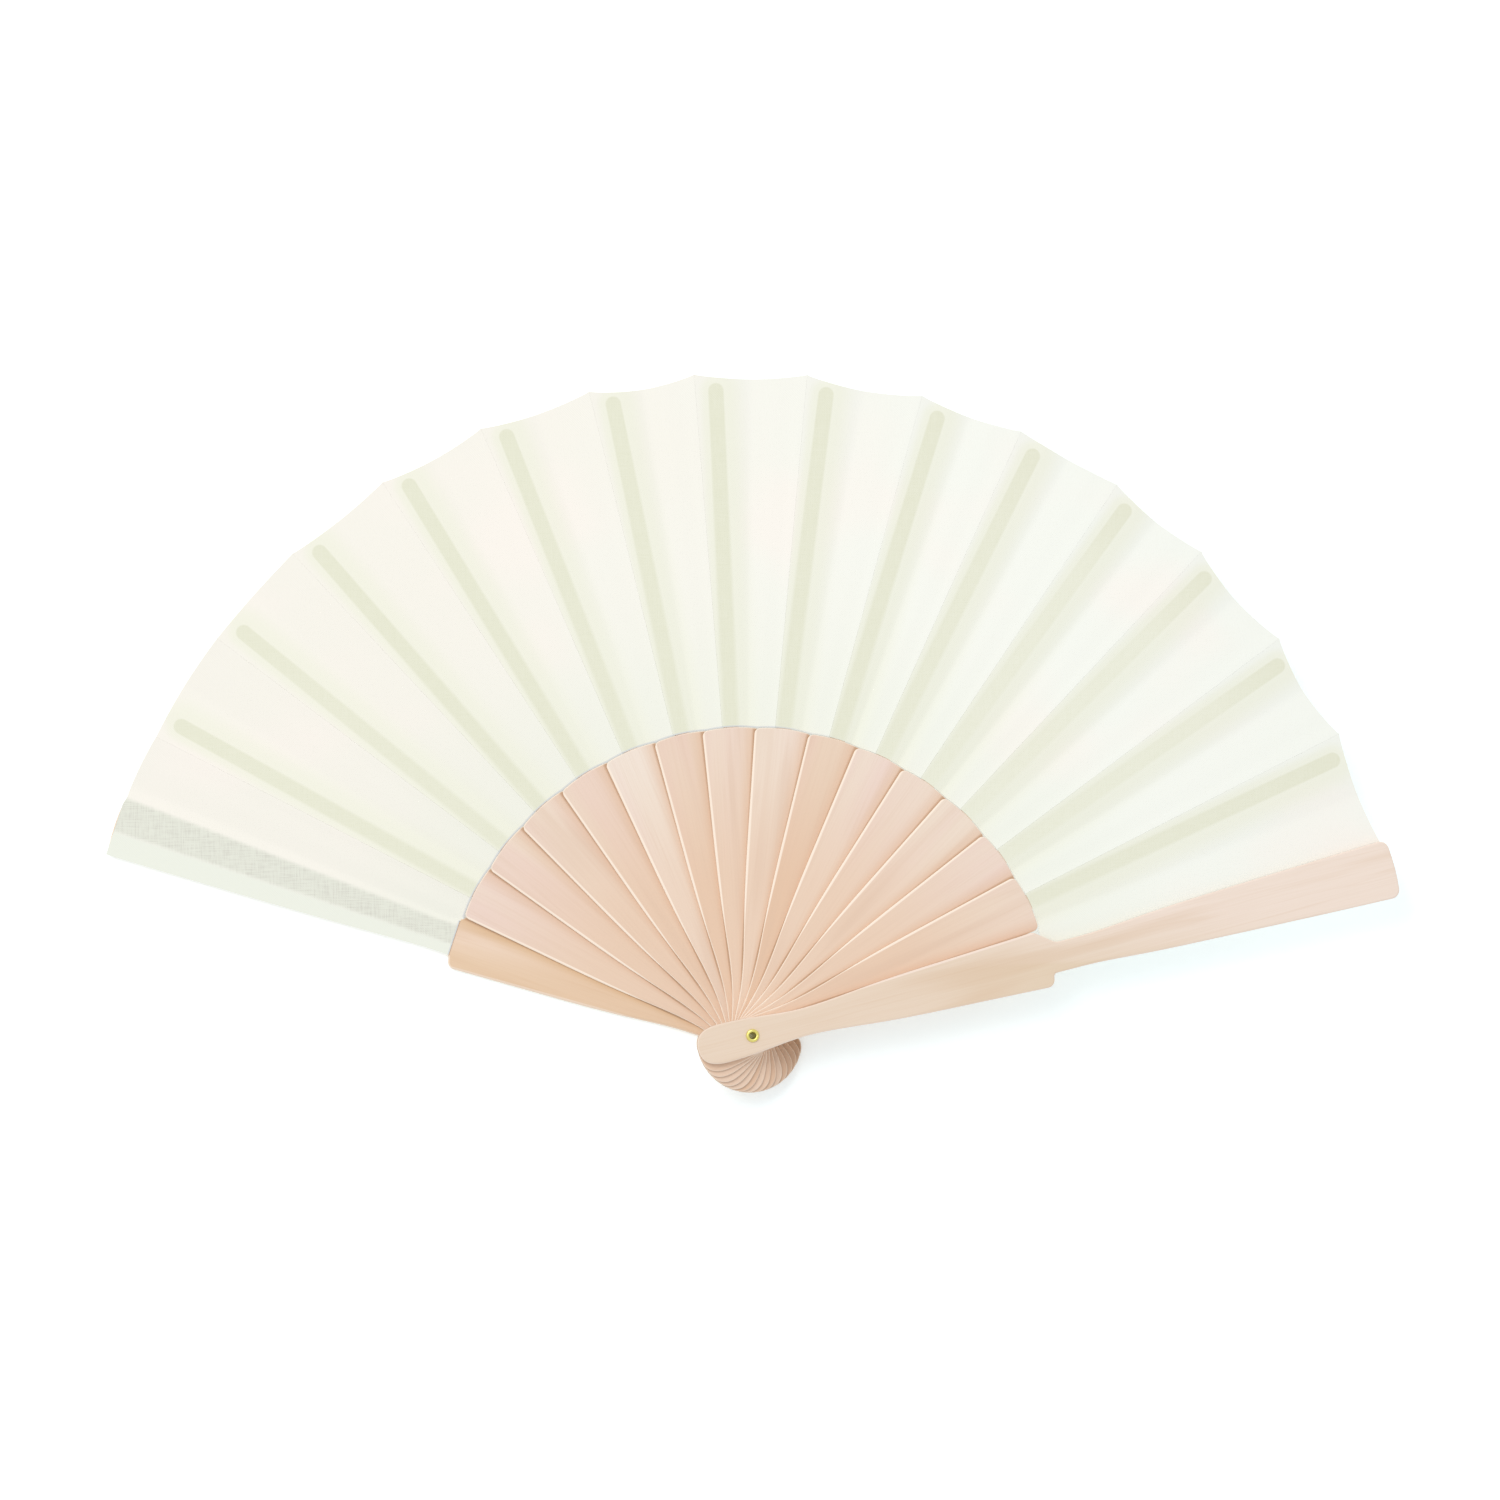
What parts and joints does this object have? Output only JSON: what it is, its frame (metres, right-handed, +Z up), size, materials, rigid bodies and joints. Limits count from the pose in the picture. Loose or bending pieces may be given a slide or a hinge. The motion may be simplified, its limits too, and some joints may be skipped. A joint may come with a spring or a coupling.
{
  "type": "folding hand fan",
  "caption": "Pleated folding hand fan, lying open: a white cloth leaf on pale wooden ribs between wider guards, all turning on a hollow rivet.",
  "frame": {"origin": "on the rivet's axis, at the underside of the rear guard, on which the open fan lies", "axes": "+Z up through the stack of sticks, along the rivet; +X across the open fan from the rear guard's side to the front guard's side; +Y from the rivet towards the middle of the leaf"},
  "size_m": [0.4121, 0.2298, 0.0212],
  "materials": {
    "guard_wood": "sanded, unvarnished",
    "rib_wood": "sanded, unvarnished",
    "cloth": "matt fine plain weave",
    "brass": "bright, rolled"
  },
  "bodies": {
    "rear_guard": {"rear_guard": "guard_wood", "rivet": "brass", "leaf_panel_00": "cloth", "leaf_fold_00": "cloth"},
    "rib_01": {"rib_01": "rib_wood", "leaf_panel_01": "cloth", "leaf_fold_01": "cloth"},
    "rib_02": {"rib_02": "rib_wood", "leaf_panel_02": "cloth", "leaf_fold_02": "cloth"},
    "rib_03": {"rib_03": "rib_wood", "leaf_panel_03": "cloth", "leaf_fold_03": "cloth"},
    "rib_04": {"rib_04": "rib_wood", "leaf_panel_04": "cloth", "leaf_fold_04": "cloth"},
    "rib_05": {"rib_05": "rib_wood", "leaf_panel_05": "cloth", "leaf_fold_05": "cloth"},
    "rib_06": {"rib_06": "rib_wood", "leaf_panel_06": "cloth", "leaf_fold_06": "cloth"},
    "rib_07": {"rib_07": "rib_wood", "leaf_panel_07": "cloth", "leaf_fold_07": "cloth"},
    "rib_08": {"rib_08": "rib_wood", "leaf_panel_08": "cloth", "leaf_fold_08": "cloth"},
    "rib_09": {"rib_09": "rib_wood", "leaf_panel_09": "cloth", "leaf_fold_09": "cloth"},
    "rib_10": {"rib_10": "rib_wood", "leaf_panel_10": "cloth", "leaf_fold_10": "cloth"},
    "rib_11": {"rib_11": "rib_wood", "leaf_panel_11": "cloth", "leaf_fold_11": "cloth"},
    "rib_12": {"rib_12": "rib_wood", "leaf_panel_12": "cloth", "leaf_fold_12": "cloth"},
    "rib_13": {"rib_13": "rib_wood", "leaf_panel_13": "cloth", "leaf_fold_13": "cloth"},
    "rib_14": {"rib_14": "rib_wood", "leaf_panel_14": "cloth", "leaf_fold_14": "cloth"},
    "front_guard": {"front_guard": "guard_wood", "leaf_panel_15": "cloth"}
  },
  "joints": [
    {"name": "pivot_01", "type": "hinge", "parent": "rear_guard", "child": "rib_01", "pos_m": [0, 0, 0], "axis": [0, 0, 1], "range_deg": [0, 9.8], "deforming": ["leaf_fold_00"]},
    {"name": "pivot_02", "type": "hinge", "parent": "rib_01", "child": "rib_02", "pos_m": [0, 0, 0], "axis": [0, 0, 1], "range_deg": [0, 10], "deforming": ["leaf_fold_01"]},
    {"name": "pivot_03", "type": "hinge", "parent": "rib_02", "child": "rib_03", "pos_m": [0, 0, 0], "axis": [0, 0, 1], "range_deg": [0, 9.8], "deforming": ["leaf_fold_02"]},
    {"name": "pivot_04", "type": "hinge", "parent": "rib_03", "child": "rib_04", "pos_m": [0, 0, 0], "axis": [0, 0, 1], "range_deg": [0, 9.9], "deforming": ["leaf_fold_03"]},
    {"name": "pivot_05", "type": "hinge", "parent": "rib_04", "child": "rib_05", "pos_m": [0, 0, 0], "axis": [0, 0, 1], "range_deg": [0, 9.7], "deforming": ["leaf_fold_04"]},
    {"name": "pivot_06", "type": "hinge", "parent": "rib_05", "child": "rib_06", "pos_m": [0, 0, 0], "axis": [0, 0, 1], "range_deg": [0, 9.9], "deforming": ["leaf_fold_05"]},
    {"name": "pivot_07", "type": "hinge", "parent": "rib_06", "child": "rib_07", "pos_m": [0, 0, 0], "axis": [0, 0, 1], "range_deg": [0, 9.2], "deforming": ["leaf_fold_06"]},
    {"name": "pivot_08", "type": "hinge", "parent": "rib_07", "child": "rib_08", "pos_m": [0, 0, 0], "axis": [0, 0, 1], "range_deg": [0, 9.8], "deforming": ["leaf_fold_07"]},
    {"name": "pivot_09", "type": "hinge", "parent": "rib_08", "child": "rib_09", "pos_m": [0, 0, 0], "axis": [0, 0, 1], "range_deg": [0, 10.1], "deforming": ["leaf_fold_08"]},
    {"name": "pivot_10", "type": "hinge", "parent": "rib_09", "child": "rib_10", "pos_m": [0, 0, 0], "axis": [0, 0, 1], "range_deg": [0, 9.1], "deforming": ["leaf_fold_09"]},
    {"name": "pivot_11", "type": "hinge", "parent": "rib_10", "child": "rib_11", "pos_m": [0, 0, 0], "axis": [0, 0, 1], "range_deg": [0, 9.5], "deforming": ["leaf_fold_10"]},
    {"name": "pivot_12", "type": "hinge", "parent": "rib_11", "child": "rib_12", "pos_m": [0, 0, 0], "axis": [0, 0, 1], "range_deg": [0, 9.3], "deforming": ["leaf_fold_11"]},
    {"name": "pivot_13", "type": "hinge", "parent": "rib_12", "child": "rib_13", "pos_m": [0, 0, 0], "axis": [0, 0, 1], "range_deg": [0, 10.1], "deforming": ["leaf_fold_12"]},
    {"name": "pivot_14", "type": "hinge", "parent": "rib_13", "child": "rib_14", "pos_m": [0, 0, 0], "axis": [0, 0, 1], "range_deg": [0, 9.7], "deforming": ["leaf_fold_13"]},
    {"name": "pivot_15", "type": "hinge", "parent": "rib_14", "child": "front_guard", "pos_m": [0, 0, 0], "axis": [0, 0, 1], "range_deg": [0, 11.1], "deforming": ["leaf_fold_14"]}
  ],
  "couplings": [
    {"joint": "pivot_02", "follows": "pivot_01", "ratio": 1.0204},
    {"joint": "pivot_03", "follows": "pivot_01", "ratio": 1},
    {"joint": "pivot_04", "follows": "pivot_01", "ratio": 1.0102},
    {"joint": "pivot_05", "follows": "pivot_01", "ratio": 0.98979},
    {"joint": "pivot_06", "follows": "pivot_01", "ratio": 1.0102},
    {"joint": "pivot_07", "follows": "pivot_01", "ratio": 0.93878},
    {"joint": "pivot_08", "follows": "pivot_01", "ratio": 1},
    {"joint": "pivot_09", "follows": "pivot_01", "ratio": 1.0306},
    {"joint": "pivot_10", "follows": "pivot_01", "ratio": 0.92857},
    {"joint": "pivot_11", "follows": "pivot_01", "ratio": 0.96939},
    {"joint": "pivot_12", "follows": "pivot_01", "ratio": 0.94898},
    {"joint": "pivot_13", "follows": "pivot_01", "ratio": 1.0306},
    {"joint": "pivot_14", "follows": "pivot_01", "ratio": 0.98979},
    {"joint": "pivot_15", "follows": "pivot_01", "ratio": 1.1327}
  ]
}
